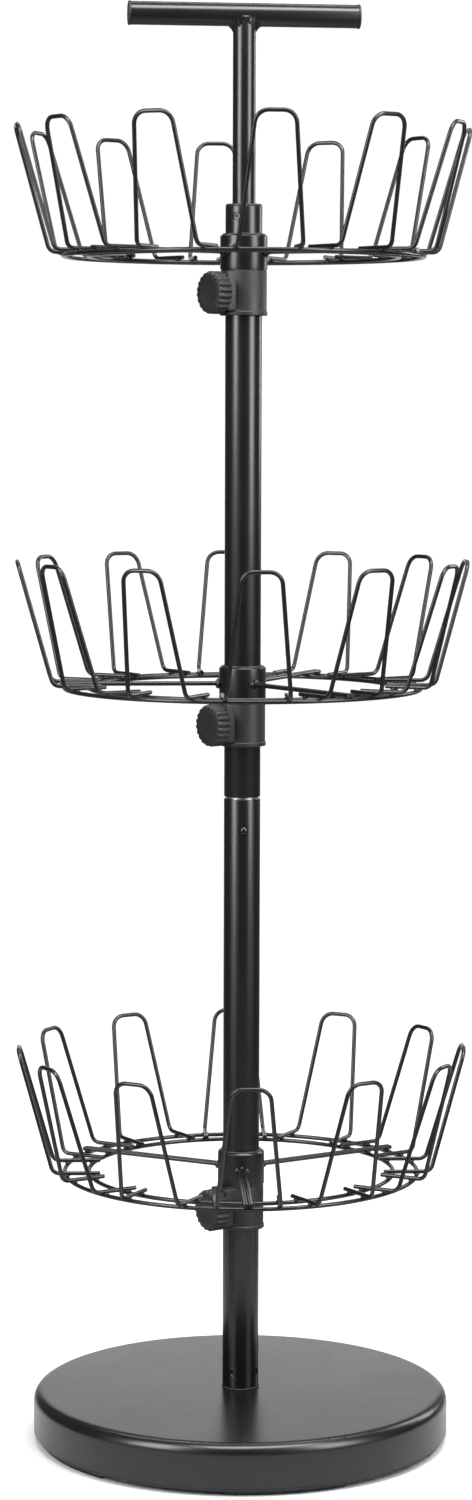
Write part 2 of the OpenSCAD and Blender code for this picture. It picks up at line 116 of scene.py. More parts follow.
class RackWireSettings(bpy.types.PropertyGroup):
    loop_height: length("Loop height", "Height of a loop above the rings", 0.0875)
    leg_out: length("Leg offset", "Distance of a leg's foot outside the outer ring", 0.008)
    lean: length("Lean", "How far a loop's top stands out past its legs' feet", 0.024)
    foot_width: length("Foot width", "Distance between the two feet of a loop", 0.043)
    top_width: length("Top width", "Width of a loop at its top", 0.026)
    top_bend: length("Top bend", "Bend radius of a loop's top corners", 0.009)
    foot_bend: length("Foot bend", "Bend radius between a leg and its foot", 0.006)
    foot_in: length("Foot overlap", "How far the feet run inside the inner ring", 0.008)
    spoke_gap: length("Spoke gap", "Gap between the two wires of a spoke", 0.0002)
    loops: number("Loops", "Number of loops on each tier", 12)
    spokes: number("Spokes", "Number of spokes on each tier", 3)
    bottom_turn: angle("Bottom turn", "Direction of the bottom tier's first spoke", 32.4)
    middle_turn: angle("Middle turn", "Direction of the middle tier's first spoke", 64.7)
    top_turn: angle("Top turn", "Direction of the top tier's first spoke", 97.7)


class RackClampSettings(bpy.types.PropertyGroup):
    collar_radius: length("Collar radius", "Outside radius of a clamp collar", 0.0159)
    lip: length("Lip", "How far the collar's lower lip stands out", 0.0005)
    boss_width: length("Boss width", "Width of the block behind the knob", 0.017)
    boss_reach: length("Boss reach", "Distance of the block's face from the pole's axis", 0.020)
    knob_thickness: length("Knob thickness", "Thickness of the clamp knob", 0.0106)
    knob_radius: length("Knob radius", "Outside radius of the clamp knob", 0.0147)
    flutes: number("Flutes", "Number of grip flutes round the knob", 20)
    flute_depth: length("Flute depth", "Depth of the grip flutes", 0.0013)


class RackStandSettings(bpy.types.PropertyGroup):
    edge_radius: length("Edge radius", "Radius of the base cover's rounded edge", 0.008)
    sheet: length("Sheet", "Thickness of the base cover", 0.0015)
    feet: number("Feet", "Number of pad feet", 5)
    foot_span: angle("Foot span", "Angle that each foot covers", 34)
    foot_turn: angle("Foot turn", "Direction of the first foot", 211)
    foot_width: length("Foot width", "Width of each foot", 0.013)
    wall: length("Tube wall", "Wall of the pole tubes", 0.0015)
    handle_wall: length("Handle wall", "Wall of the handle's tubes", 0.0012)
    foot_screws: number("Foot screws", "Number of set screws at the pole's foot", 4)
    screw_turn: angle("Foot screw turn", "Direction of the first foot screw", 241)
    stem_screw_turn: angle("Stem screw turn", "Direction of the screw that holds the handle", 245)
    bar_length: length("Bar length", "Length of the handle's cross tube", 0.157)
    bar_turn: angle("Bar turn", "Direction of the cross tube", 8)
    weld_width: length("Weld width", "Leg length of the weld under the cross tube", 0.0042)


class RackFinishSettings(bpy.types.PropertyGroup):
    coat: colour("Powder coat", "Colour of the powder coat", "#0E0E0F")
    coat_roughness: FloatProperty(name="Coat roughness", description="Roughness of the powder coat",
                                  default=0.26, subtype="FACTOR")
    plastic: colour("Plastic", "Colour of the moulded plastic", "#141415")
    rubber: colour("Rubber", "Colour of the feet", "#1B1B1B")
    zinc: colour("Zinc", "Colour of the zinc plate", "#C9CBCE")


class RackStageSettings(bpy.types.PropertyGroup):
    camera: FloatVectorProperty(name="Camera", description="Place of the camera", size=3,
                                default=(0.00275, -2.4849, 0.7309), subtype="TRANSLATION", unit="LENGTH")
    pitch: angle("Pitch", "How far the camera looks down", 5.569)
    yaw: angle("Yaw", "How far the camera turns to its right", -0.164)
    roll: angle("Roll", "How far the camera leans over", 0.169)
    lens: FloatProperty(name="Lens", description="Focal length on a 36 mm frame, in millimetres", default=86.04)
    floor: colour("Floor", "Colour of the floor", "#DDDDDD")
    room_light: FloatProperty(name="Room light", description="Strength of the light from all round", default=0.10)


# ---- mesh helpers ----

def along(origin, direction):
    """Placement that takes local +Z to a direction, from an origin."""
    turn = Vector((0, 0, 1)).rotation_difference(Vector(direction).normalized())
    return Matrix.Translation(Vector(origin)) @ turn.to_matrix().to_4x4()


def heading(direction):
    """Unit vector in the floor's plane."""
    return Vector((math.cos(direction), math.sin(direction), 0))


def bend(before, corner, after, radius, steps):
    """Points of the arc that rounds a corner between two straights."""
    a = (before - corner).normalized()
    b = (after - corner).normalized()
    half = a.angle(b) / 2
    trim = radius / math.tan(half)
    middle = corner + (a + b).normalized() * radius / math.sin(half)
    start = (corner + a * trim - middle).normalized()
    end = (corner + b * trim - middle).normalized()
    return [middle + start.slerp(end, k / steps) * radius for k in range(steps + 1)]


def rounded(corners, closed=True, steps=6):
    """Outline of (x, y, radius) corners with each corner rounded."""
    out = []
    count = len(corners)
    for i, (x, y, r) in enumerate(corners):
        if r <= 0 or (not closed and i in (0, count - 1)):
            out.append((x, y))
            continue
        before, after = Vector(corners[i - 1][:2]), Vector(corners[(i + 1) % count][:2])
        out += [tuple(p) for p in bend(before, Vector((x, y)), after, r, steps)]
    return out


def bent_path(corners, steps=9):
    """Points along a wire through (point, bend radius) corners."""
    out = [corners[0][0]]
    for (before, _), (p, r), (after, _) in zip(corners, corners[1:], corners[2:]):
        out += bend(before, p, after, r, steps)
    return out + [corners[-1][0]]


def chain_mesh(chains, closed=False):
    """Mesh of plain edges through each chain of points."""
    mesh = bpy.data.meshes.new("chain")
    points, edges = [], []
    for chain in chains:
        first = len(points)
        points += [tuple(p) for p in chain]
        edges += [(first + i, first + i + 1) for i in range(len(chain) - 1)]
        if closed:
            edges.append((first + len(chain) - 1, first))
    mesh.from_pydata(points, edges, [])
    return mesh


def skin(bm, rows, closed=False):
    """Faces from row to row of vertices, and over both ends unless the rows close on themselves."""
    for a, b in zip(rows, rows[1:] + (rows[:1] if closed else [])):
        for i in range(len(a)):
            n = (i + 1) % len(a)
            bm.faces.new((a[i], a[n], b[n], b[i]))
    if not closed:
        bm.faces.new(rows[0])
        bm.faces.new(rows[-1])


def smooth(mesh, sharp_degrees=32):
    mesh.polygons.foreach_set("use_smooth", [True] * len(mesh.polygons))
    mesh.set_sharp_from_angle(angle=math.radians(sharp_degrees))
    mesh.update()


def mesh_from(bm, name):
    bmesh.ops.remove_doubles(bm, verts=bm.verts, dist=1e-7)
    bmesh.ops.recalc_face_normals(bm, faces=bm.faces)
    mesh = bpy.data.meshes.new(name)
    bm.to_mesh(mesh)
    bm.free()
    return mesh


def lathe_into(bm, outline, segments=96, place=None, reach=None):
    """Turns an (r, z) outline round Z. reach(angle, r, z) can change the radius with the angle."""
    place = place or Matrix.Identity(4)
    rings = []
    for r, z in outline:
        if r < 1e-7:
            rings.append([bm.verts.new(place @ Vector((0, 0, z)))])
            continue
        ring = []
        for k in range(segments):
            a = 2 * math.pi * k / segments
            rr = reach(a, r, z) if reach else r
            ring.append(bm.verts.new(place @ Vector((rr * math.cos(a), rr * math.sin(a), z))))
        rings.append(ring)
    on_axis = len(rings[0]) == 1 and len(rings[-1]) == 1
    for i in range(len(rings) - (1 if on_axis else 0)):
        lower, upper = rings[i], rings[(i + 1) % len(rings)]
        for k in range(segments):
            n = (k + 1) % segments
            corners = [lower[k % len(lower)], lower[n % len(lower)], upper[n % len(upper)], upper[k % len(upper)]]
            corners = list(dict.fromkeys(corners))
            if len(corners) > 2:
                bm.faces.new(corners)
    return bm


def lathe(name, outline, segments=96, place=None, reach=None):
    return mesh_from(lathe_into(bmesh.new(), outline, segments, place, reach), name)


def tube_outline(outer, inner, z0, z1, edge=0.0004):
    return rounded([(outer, z0, edge), (outer, z1, edge), (inner, z1, edge / 2), (inner, z0, edge / 2)], steps=3)


def evaluated_mesh(obj, name):
    """Plain mesh of an object with its modifiers, which then go."""
    bpy.context.view_layer.update()
    mesh = bpy.data.meshes.new_from_object(obj.evaluated_get(bpy.context.evaluated_depsgraph_get()))
    mesh.name = name
    bpy.data.objects.remove(obj)
    return mesh


def scratch(mesh):
    obj = bpy.data.objects.new("scratch", mesh)
    bpy.context.scene.collection.objects.link(obj)
    return obj


def drilled(mesh, cutter_mesh, name):
    """A mesh with holes cut by another mesh."""
    obj = scratch(mesh)
    cutter = scratch(cutter_mesh)
    cut = obj.modifiers.new("Holes", "BOOLEAN")
    cut.object = cutter
    cut.operation = "DIFFERENCE"
    cut.solver = "EXACT"
    result = evaluated_mesh(obj, name)
    bpy.data.objects.remove(cutter)
    return result


def add_piece(name, mesh, body, slot, replaced=(), sharp_degrees=32, finish=None):
    """Puts a finished mesh in the scene as a piece of the rack. Its finish is its slot's unless another is named."""
    if not len(mesh.polygons):
        raise RuntimeError(name + " came out empty")
    smooth(mesh, sharp_degrees)
    mesh.materials.clear()
    mesh.materials.append(FINISHES[finish or slot])
    obj = bpy.data.objects.new(name, mesh)
    bpy.context.scene.collection.objects.link(obj)
    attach(obj, body)
    if replaced:
        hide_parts(*replaced)
    return obj


# ---- node helpers ----

def add(tree, kind, links=None, **settings):
    """Adds a node, sets its settings, and fills or links its inputs."""
    node = tree.nodes.new(kind)
    for key, value in settings.items():
        setattr(node, key, value)
    for key, value in (links or {}).items():
        if isinstance(value, bpy.types.NodeSocket):
            tree.links.new(value, node.inputs[key])
        else:
            node.inputs[key].default_value = value
    return node


SHARED_INPUTS = (("Copies", "NodeSocketInt"), ("First turn", "NodeSocketFloat"), ("Material", "NodeSocketMaterial"))


def new_tree(name, *inputs):
    """Geometry tree with a geometry in and out, its own inputs and the shared ones."""
    tree = bpy.data.node_groups.new(name, "GeometryNodeTree")
    tree.interface.new_socket("Geometry", in_out="INPUT", socket_type="NodeSocketGeometry")
    for label, kind in inputs + SHARED_INPUTS:
        tree.interface.new_socket(label, in_out="INPUT", socket_type=kind)
    tree.interface.new_socket("Geometry", in_out="OUTPUT", socket_type="NodeSocketGeometry")
    return tree, tree.nodes.new("NodeGroupInput").outputs


def round_the_pole(tree, given, shape):
    """Copies of a shape that share a full circle between them."""
    points = add(tree, "GeometryNodePoints", {"Count": given["Copies"]})
    index = add(tree, "GeometryNodeInputIndex")
    step = add(tree, "ShaderNodeMath", {0: 2 * math.pi, 1: given["Copies"]}, operation="DIVIDE")
    bearing = add(tree, "ShaderNodeMath", {0: index.outputs[0], 1: step.outputs[0], 2: given["First turn"]},
                  operation="MULTIPLY_ADD")
    turn = add(tree, "ShaderNodeCombineXYZ", {"Z": bearing.outputs[0]})
    rotation = add(tree, "FunctionNodeEulerToRotation", {0: turn.outputs[0]})
    return add(tree, "GeometryNodeInstanceOnPoints", {
        "Points": points.outputs[0], "Instance": shape, "Rotation": rotation.outputs[0]}).outputs[0]


def end_tree(tree, given, copies):
    """Makes copies real, gives them their material and sends them out."""
    real = add(tree, "GeometryNodeRealizeInstances", {0: copies})
    coated = add(tree, "GeometryNodeSetMaterial", {"Geometry": real.outputs[0], "Material": given["Material"]})
    tree.links.new(coated.outputs[0], tree.nodes.new("NodeGroupOutput").inputs[0])
    return tree


def wire_tree():
    """Sweeps round wire along a mesh's edges and repeats it round the pole."""
    tree, given = new_tree("wire sweep", ("Wire radius", "NodeSocketFloat"), ("Sides", "NodeSocketInt"))
    path = add(tree, "GeometryNodeMeshToCurve", {0: given["Geometry"]})
    section = add(tree, "GeometryNodeCurvePrimitiveCircle",
                  {"Resolution": given["Sides"], "Radius": given["Wire radius"]})
    swept = add(tree, "GeometryNodeCurveToMesh",
                {"Curve": path.outputs[0], "Profile Curve": section.outputs[0], "Fill Caps": True})
    return end_tree(tree, given, round_the_pole(tree, given, swept.outputs[0]))


def copies_tree():
    """Repeats a finished mesh round the pole."""
    tree, given = new_tree("copies round the pole")
    return end_tree(tree, given, round_the_pole(tree, given, given["Geometry"]))


def bead_tree():
    """Puts a weld bead on each vertex of a mesh, repeated round the pole. Each bead swells a little differently."""
    tree, given = new_tree("weld beads", ("Bead size", "NodeSocketVector"), ("Seed", "NodeSocketInt"))
    places = add(tree, "GeometryNodeRealizeInstances", {0: round_the_pole(tree, given, given["Geometry"])})
    bead = add(tree, "GeometryNodeMeshIcoSphere", {"Radius": 1.0, "Subdivisions": 2})
    swell = add(tree, "FunctionNodeRandomValue", {"Seed": given["Seed"], 0: (0.85,) * 3, 1: (1.2,) * 3},
                data_type="FLOAT_VECTOR")
    size = add(tree, "ShaderNodeVectorMath", {0: swell.outputs[0], 1: given["Bead size"]}, operation="MULTIPLY")
    spot = add(tree, "GeometryNodeInputPosition")
    parts = add(tree, "ShaderNodeSeparateXYZ", {0: spot.outputs[0]})
    bearing = add(tree, "ShaderNodeMath", {0: parts.outputs["Y"], 1: parts.outputs["X"]}, operation="ARCTAN2")
    turn = add(tree, "ShaderNodeCombineXYZ", {"Z": bearing.outputs[0]})
    facing = add(tree, "FunctionNodeEulerToRotation", {0: turn.outputs[0]})
    beads = add(tree, "GeometryNodeInstanceOnPoints",
                {"Points": places.outputs[0], "Instance": bead.outputs[0],
                 "Rotation": facing.outputs[0], "Scale": size.outputs[0]})
    return end_tree(tree, given, beads.outputs[0])


def run_tree(tree, mesh, values, name):
    """Plain mesh of a mesh put through a geometry tree with the given inputs."""
    obj = scratch(mesh)
    modifier = obj.modifiers.new("Nodes", "NODES")
    modifier.node_group = tree
    for item in tree.interface.items_tree:
        if item.item_type == "SOCKET" and item.in_out == "INPUT" and item.name in values:
            modifier[item.identifier] = values[item.name]
    return evaluated_mesh(obj, name)


def repeated(mesh, name, copies, first_turn, slot):
    """Plain mesh of copies of a mesh round the pole."""
    values = {"Copies": copies, "First turn": first_turn, "Material": FINISHES[slot]}
    return run_tree(copies_tree(), mesh, values, name)


# ---- finishes ----

FINISHES = {}


def linear(hex_colour):
    """sRGB hex to linear RGBA."""
    values = [int(hex_colour[i:i + 2], 16) / 255 for i in (1, 3, 5)]
    return [v / 12.92 if v <= 0.04045 else ((v + 0.055) / 1.055) ** 2.4 for v in values] + [1.0]


def shade_of(hex_colour, gain):
    return [min(1.0, v * gain) for v in linear(hex_colour)[:3]] + [1.0]


def new_finish(name):
    material = bpy.data.materials.new(name)
    material.use_nodes = True
    tree = material.node_tree
    return material, tree, tree.nodes["Principled BSDF"], add(tree, "ShaderNodeTexCoord").outputs["Object"]


def noise(tree, place, size_mm, detail, **more):
    """Noise whose patches are about the given size."""
    return add(tree, "ShaderNodeTexNoise", {"Vector": place, "Scale": 1 / (size_mm * MM), "Detail": detail,
                                           **more}).outputs[0]


def blend(tree, share, first, second):
    """Mix of two colours."""
    return add(tree, "ShaderNodeMix", {0: share, 6: first, 7: second}, data_type="RGBA").outputs[2]


def ramp(tree, value, dark, light, start=0.0, end=1.0):
    """Colour that runs from dark to light as a value goes from start to end."""
    node = add(tree, "ShaderNodeValToRGB", {"Fac": value})
    low_end, high_end = node.color_ramp.elements
    low_end.position, high_end.position = start, end
    low_end.color, high_end.color = dark, light
    return node.outputs[0]


def rescaled(tree, value, start, end, least, most):
    return add(tree, "ShaderNodeMapRange", {"Value": value, 1: start, 2: end, 3: least, 4: most}).outputs[0]


def bump(tree, height, strength, depth_mm):
    return add(tree, "ShaderNodeBump", {"Strength": strength, "Distance": depth_mm * MM, "Height": height}).outputs[0]


def wire_up(tree, shader, **sockets):
    """Links or sets inputs of a material's shader."""
    for name, value in sockets.items():
        socket = shader.inputs[name.replace("_", " ")]
        if isinstance(value, bpy.types.NodeSocket):
            tree.links.new(value, socket)
        else:
            socket.default_value = value


def powder_coat(name, hex_colour, roughness, grain_mm):
    """Semi-gloss black powder coat, baked on: it levels into a faint orange peel, so highlights stay
    soft-edged and slightly broken, and handling leaves patches that are a little duller."""
    material, tree, shader, place = new_finish(name)
    cloud = noise(tree, place, 55, 3.0)
    tint = ramp(tree, cloud, shade_of(hex_colour, 0.96), shade_of(hex_colour, 1.05), 0.35, 0.68)
    speck = rescaled(tree, noise(tree, place, 2.2, 2.0), 0.70, 0.80, 0.0, 0.05)
    # A 1 mm peel is near the limit of what shows from 2.5 m, so it is drawn at about 1.5 mm
    wire_up(tree, shader, Base_Color=blend(tree, speck, tint, linear("#8C8A86")),
            Roughness=rescaled(tree, cloud, 0.3, 0.7, roughness - 0.01, roughness + 0.03),
            Normal=bump(tree, noise(tree, place, grain_mm, 1.5), 0.25, 0.05), IOR=1.5)
    return material


def moulded_abs(name, hex_colour, roughness):
    """Black ABS from a spark-eroded mould: an even texture of about 0.4 mm breaks highlights into a dull sheen."""
    material, tree, shader, place = new_finish(name)
    cloud = noise(tree, place, 18, 2.0)
    wire_up(tree, shader, Base_Color=ramp(tree, cloud, shade_of(hex_colour, 0.9), shade_of(hex_colour, 1.12)),
            Roughness=rescaled(tree, cloud, 0.3, 0.7, roughness - 0.04, roughness + 0.05),
            Normal=bump(tree, noise(tree, place, 0.4, 2.0), 0.5, 0.03), IOR=1.53)
    return material


def scuffed_abs(name, hex_colour, roughness):
    """Black ABS that has been slid across counters: pale rub marks that run round the low edge."""
    material, tree, shader, place = new_finish(name)
    stretch = add(tree, "ShaderNodeMapping", {"Vector": place, "Scale": (1.0, 1.0, 6.0)})
    rubs = noise(tree, stretch.outputs[0], 14, 8.0, Roughness=0.7)
    mask = rescaled(tree, rubs, 0.56, 0.72, 0.0, 0.55)
    wire_up(tree, shader, Base_Color=blend(tree, mask, linear(hex_colour), linear("#7A7A78")),
            Roughness=rescaled(tree, rubs, 0.4, 0.7, roughness, roughness + 0.2),
            Normal=bump(tree, rubs, 0.4, 0.05))
    return material


def nylon(name):
    """Black nylon bush, turned smooth by use: a soft, slightly waxy gloss."""
    material, tree, shader, place = new_finish(name)
    wear = noise(tree, place, 9, 2.0)
    wire_up(tree, shader, Base_Color=ramp(tree, wear, linear("#1C1C1D"), linear("#2B2B2C")),
            Roughness=rescaled(tree, wear, 0.0, 1.0, 0.30, 0.42), IOR=1.53)
    return material


def rubber(name, hex_colour):
    """Moulded rubber: deep black and matt, with dust caught in a fine grain."""
    material, tree, shader, place = new_finish(name)
    grain = noise(tree, place, 0.8, 3.0)
    wire_up(tree, shader, Base_Color=ramp(tree, grain, linear(hex_colour), shade_of(hex_colour, 1.6)),
            Roughness=0.78, Normal=bump(tree, grain, 0.4, 0.05))
    return material


def bare_metal(name, hex_colour, roughness, band_mm):
    """Plated or blackened steel as turned: fine rings along its length that smear the highlight."""
    material, tree, shader, place = new_finish(name)
    squash = add(tree, "ShaderNodeMapping", {"Vector": place, "Scale": (0.15, 0.15, 1.0)})
    rings = noise(tree, squash.outputs[0], band_mm, 2.0)
    wire_up(tree, shader, Base_Color=ramp(tree, rings, shade_of(hex_colour, 0.85), shade_of(hex_colour, 1.08)),
            Roughness=rescaled(tree, rings, 0.3, 0.7, roughness - 0.05, roughness + 0.08),
            Normal=bump(tree, rings, 0.2, 0.02), Metallic=1.0)
    return material


class RACK_OT_finishes(bpy.types.Operator):
    """Makes every finish and gives each node of the frame its own"""
    bl_idname = "rack.finishes"
    bl_label = "Finishes"

    def execute(self, context):
        looks = context.scene.rack_finish
        FINISHES.update({
            "black_coating": powder_coat("black powder coat", looks.coat, looks.coat_roughness, 1.5),
            "black_plastic": moulded_abs("black moulded ABS", looks.plastic, 0.5),
            "pan_plastic": scuffed_abs("scuffed black ABS", looks.plastic, 0.5),
            "nylon": nylon("black nylon"),
            "rubber_feet": rubber("black moulded rubber", looks.rubber),
            "ballast": bare_metal("plain steel plate", "#5A5854", 0.5, 3.0),
            "zinc": bare_metal("zinc plated steel", looks.zinc, 0.28, 0.5),
            "black_oxide": bare_metal("blackened steel", "#3E3F42", 0.25, 0.5),
            "brass": bare_metal("turned brass", "#C8A560", 0.3, 0.4),
        })
        slots = {s["node"]: s["material_slot"] for s in frame["record"]["subparts"]}
        for node, obj in frame["nodes"].items():
            obj.data.materials.clear()
            obj.data.materials.append(FINISHES[slots[node]])
        return {"FINISHED"}


# ---- stage ----

def matt_paper(name, hex_colour):
    """Matt background paper: even and without a shine."""
    paper, tree, shader, place = new_finish(name)
    fibre = noise(tree, place, 4, 2.0)
    wire_up(tree, shader, Base_Color=blend(tree, fibre, shade_of(hex_colour, 0.99), shade_of(hex_colour, 1.01)),
            Roughness=0.9, Specular_IOR_Level=0.1)
    # Clear from its back, so that it never hides the rack from a viewer who stands behind it
    behind = add(tree, "ShaderNodeNewGeometry").outputs["Backfacing"]
    clear = add(tree, "ShaderNodeBsdfTransparent")
    one_sided = add(tree, "ShaderNodeMixShader", {0: behind, 1: shader.outputs[0], 2: clear.outputs[0]})
    tree.links.new(one_sided.outputs[0], tree.nodes["Material Output"].inputs["Surface"])
    return paper


def table_paper(name, hex_colour):
    """The same paper on the floor. The camera sees it pale all over, but to every other ray its colour is painted
    dark away from the rack. This painted shade stands in for a dim room, so the floor throws little light back and
    black wire stays black.
    """
    paper = matt_paper(name, hex_colour)
    tree = paper.node_tree
    seen = add(tree, "ShaderNodeLightPath").outputs["Is Camera Ray"]
    place = add(tree, "ShaderNodeTexCoord").outputs["Object"]
    distance = add(tree, "ShaderNodeVectorMath", {0: place}, operation="LENGTH").outputs["Value"]
    # Painted shade: for bounced light the floor's colour falls from 0.8 near the rack to 0.22 beyond 0.6 m
    near = rescaled(tree, distance, 0.22, 0.60, 0.8, 0.22)
    share = add(tree, "ShaderNodeMath", {0: seen, 1: near}, operation="MAXIMUM").outputs[0]
    wire_up(tree, tree.nodes["Principled BSDF"],
            Base_Color=blend(tree, share, (0.0, 0.0, 0.0, 1.0), linear(hex_colour)))
    return paper


class RACK_OT_stage(bpy.types.Operator):
    """Makes the pale floor and sweep, the soft lights and the camera"""
    bl_idname = "rack.stage"
    bl_label = "Stage"

    def execute(self, context):
        stage = context.scene.rack_stage
        scene = context.scene
        wall_paper = matt_paper("pale matt paper", stage.floor)
        floor_paper = table_paper("pale table", stage.floor)
        bm = bmesh.new()
        # One sheet: the floor under the rack, sweeping up behind it
        half, front, curve, back, height = 1.2, 1.2, 1.0, 3.2, 2.1
        start = back - curve
        bm.faces.new([bm.verts.new((x, y, 0.0)) for x, y in
                      ((-half, -front), (half, -front), (half, start), (-half, start))])
        angles = [math.pi / 2 * k / 16 for k in range(17)]
        path = [(start + curve * math.sin(a), curve - curve * math.cos(a)) for a in angles]
        path.append((back, height))
        rows = [[bm.verts.new((x, y, z)) for x in (-half, half)] for y, z in path]
        for a, b in zip(rows, rows[1:]):
            bm.faces.new((a[0], a[1], b[1], b[0])).material_index = 1
        mesh = bpy.data.meshes.new("sweep")
        bm.to_mesh(mesh)
        bm.free()
        mesh.polygons.foreach_set("use_smooth", [True] * len(mesh.polygons))
        mesh.materials.append(floor_paper)
        mesh.materials.append(wall_paper)
        sweep = bpy.data.objects.new("stage_sweep", mesh)
        scene.collection.objects.link(sweep)

        # The room shows pale but lights the rack dimly, so that its black stays deep
        world = bpy.data.worlds.new("soft studio")
        scene.world = world
        world.use_nodes = True
        sky = world.node_tree
        seen = add(sky, "ShaderNodeLightPath").outputs["Is Camera Ray"]
        strength = add(sky, "ShaderNodeMapRange", {"Value": seen, 3: stage.room_light, 4: 1.0})
        sky.nodes["Background"].inputs[0].default_value = (1.0, 1.0, 1.0, 1.0)
        sky.links.new(strength.outputs[0], sky.nodes["Background"].inputs[1])

        for name, spot, aim, size, power in (
                ("left_softbox", (-1.23, -1.03, 1.25), (0, 0, 0.75), (0.75, 1.4), 38.0),
                ("right_softbox", (1.33, -0.92, 1.25), (0, 0, 0.75), (0.75, 1.4), 33.0),
                ("front_top_softbox", (0.25, -0.70, 2.40), (0.05, 0, 0.6), (1.9, 0.7), 66.0),
                ("left_low_light", (-1.3, -1.1, 0.35), (0, 0, 0.3), (1.7, 0.5), 1.8),
                ("right_low_light", (1.4, -0.95, 0.35), (0, 0, 0.3), (1.7, 0.5), 1.8),
                ("rear_softbox", (1.7, 1.5, 1.3), (0, 0, 0.5), (0.6, 1.4), 14.0),
                ("back_wash", (0.0, 1.3, 2.9), (0, 3.0, 0.9), (3.0, 0.6), 76.0)):
            light = bpy.data.lights.new(name, "AREA")
            light.shape = "RECTANGLE"
            light.size, light.size_y = size
            light.energy = power
            lamp = bpy.data.objects.new(name, light)
            lamp.location = spot
            lamp.rotation_euler = (Vector(aim) - Vector(spot)).to_track_quat("-Z", "Y").to_euler()
            scene.collection.objects.link(lamp)

        forward = Vector((math.sin(stage.yaw) * math.cos(stage.pitch),
                          math.cos(stage.yaw) * math.cos(stage.pitch), -math.sin(stage.pitch)))
        right = Vector((math.cos(stage.yaw), -math.sin(stage.yaw), 0))
        up = right.cross(forward)
        right, up = (right * math.cos(stage.roll) + up * math.sin(stage.roll),
                     up * math.cos(stage.roll) - right * math.sin(stage.roll))
        lens = bpy.data.cameras.new("camera")
        lens.sensor_fit = "AUTO"
        lens.sensor_width = 36.0
        lens.lens = stage.lens
        lens.clip_start, lens.clip_end = 0.05, 60.0
        camera = bpy.data.objects.new("camera", lens)
        turn = Matrix((right, up, -forward)).transposed().to_4x4()
        camera.matrix_world = Matrix.Translation(Vector(stage.camera)) @ turn
        scene.collection.objects.link(camera)
        scene.camera = camera
        scene.view_settings.view_transform = "Standard"
        return {"FINISHED"}


# ---- base ----

class RACK_OT_base(bpy.types.Operator):
    """Makes the base's pressed cover, its plastic pan and its pad feet"""
    bl_idname = "rack.base"
    bl_label = "Base"

    def execute(self, context):
        stand = context.scene.rack_stand
        lo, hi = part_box("base_cover")
        r, edge, t, cut_edge = hi.x, stand.edge_radius, stand.sheet, 0.0006
        bolt_r = high("centre_bolt").x * 0.6
        cover = rounded([
            (r, lo.z, cut_edge), (r, hi.z, edge), (bolt_r, hi.z, 0), (bolt_r, hi.z - t, 0),
            (r - t, hi.z - t, edge - t), (r - t, lo.z, cut_edge)], steps=14)
        add_piece("base_shell", lathe("base_shell", cover, 192), "stand", "black_coating", ["base_cover"], 40)

        # A floor with a low wall round it and a well in its middle for the bolt and its washer
        lo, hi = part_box("base_pan")
        r, wall, wall_top, floor = hi.x, 0.0022, lo.z + 0.0135, lo.z + 0.0025
        well, hole = width_x("bolt_washer") / 2 + 0.0005, 0.0043
        well_wall, seat = well + 0.0025, low("bolt_washer").z + 0.0012
        pan = rounded([
            (r, lo.z, 0.0012), (r, wall_top, 0.0004), (r - wall, wall_top, 0.0004), (r - wall, floor, 0.001),
            (well_wall, floor, 0.001), (well_wall, hi.z, 0.0004), (hole, hi.z, 0), (hole, seat, 0),
            (well, seat, 0.0004), (well, lo.z, 0.0006)], steps=4)
        add_piece("base_tray", lathe("base_tray", pan, 192), "stand", "black_plastic", ["base_pan"], 40,
                  finish="pan_plastic")

        lo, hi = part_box("base_feet")
        r_out = r - 0.003
        r_in, edge, steps = r_out - stand.foot_width, 0.0009, 24
        section = rounded([(r_in, lo.z, edge), (r_out, lo.z, edge), (r_out, hi.z, 0), (r_in, hi.z, 0)], steps=3)
        bm = bmesh.new()
        rows = []
        for k in range(steps + 1):
            a = stand.foot_span * (k / steps - 0.5)
            rows.append([bm.verts.new((x * math.cos(a), x * math.sin(a), z)) for x, z in section])
        skin(bm, rows)
        feet = repeated(mesh_from(bm, "foot"), "pad_feet", stand.feet, stand.foot_turn, "rubber_feet")
        add_piece("pad_feet", feet, "stand", "rubber_feet", ["base_feet"])
        return {"FINISHED"}


# ---- pole ----

def drill_bit(radius, direction, z):
    """Bit that drills one wall of a pole tube."""
    start, end = 0.006, 0.016
    outline = [(0, 0), (radius, 0), (radius, end - start), (0, end - start)]
    d = heading(direction)
    return lathe("bit", outline, 32, along(Vector((0, 0, z)) + d * start, d))


def socket_screw(name, direction, z, outer_r, head_at, screw_length):
    """Set screw with a hexagon socket, its head facing outwards."""
    flats, edge = outer_r * 0.5, outer_r * 0.16
    socket_mouth, socket_floor, socket_tip = 0.0002, 0.0018, 0.0022

    def reach(a, r, h):
        if r > flats * 1.2:
            return r
        return r / math.cos((a % (math.pi / 3)) - math.pi / 6)

    outline = [(0, 0), (outer_r, 0), (outer_r, screw_length - edge), (outer_r - edge, screw_length),
               (flats * 1.25, screw_length), (flats, screw_length - socket_mouth),
               (flats, screw_length - socket_floor), (0, screw_length - socket_tip)]
    d = heading(direction)
    return lathe(name, outline, 36, along(Vector((0, 0, z)) + d * (head_at - screw_length), d), reach)


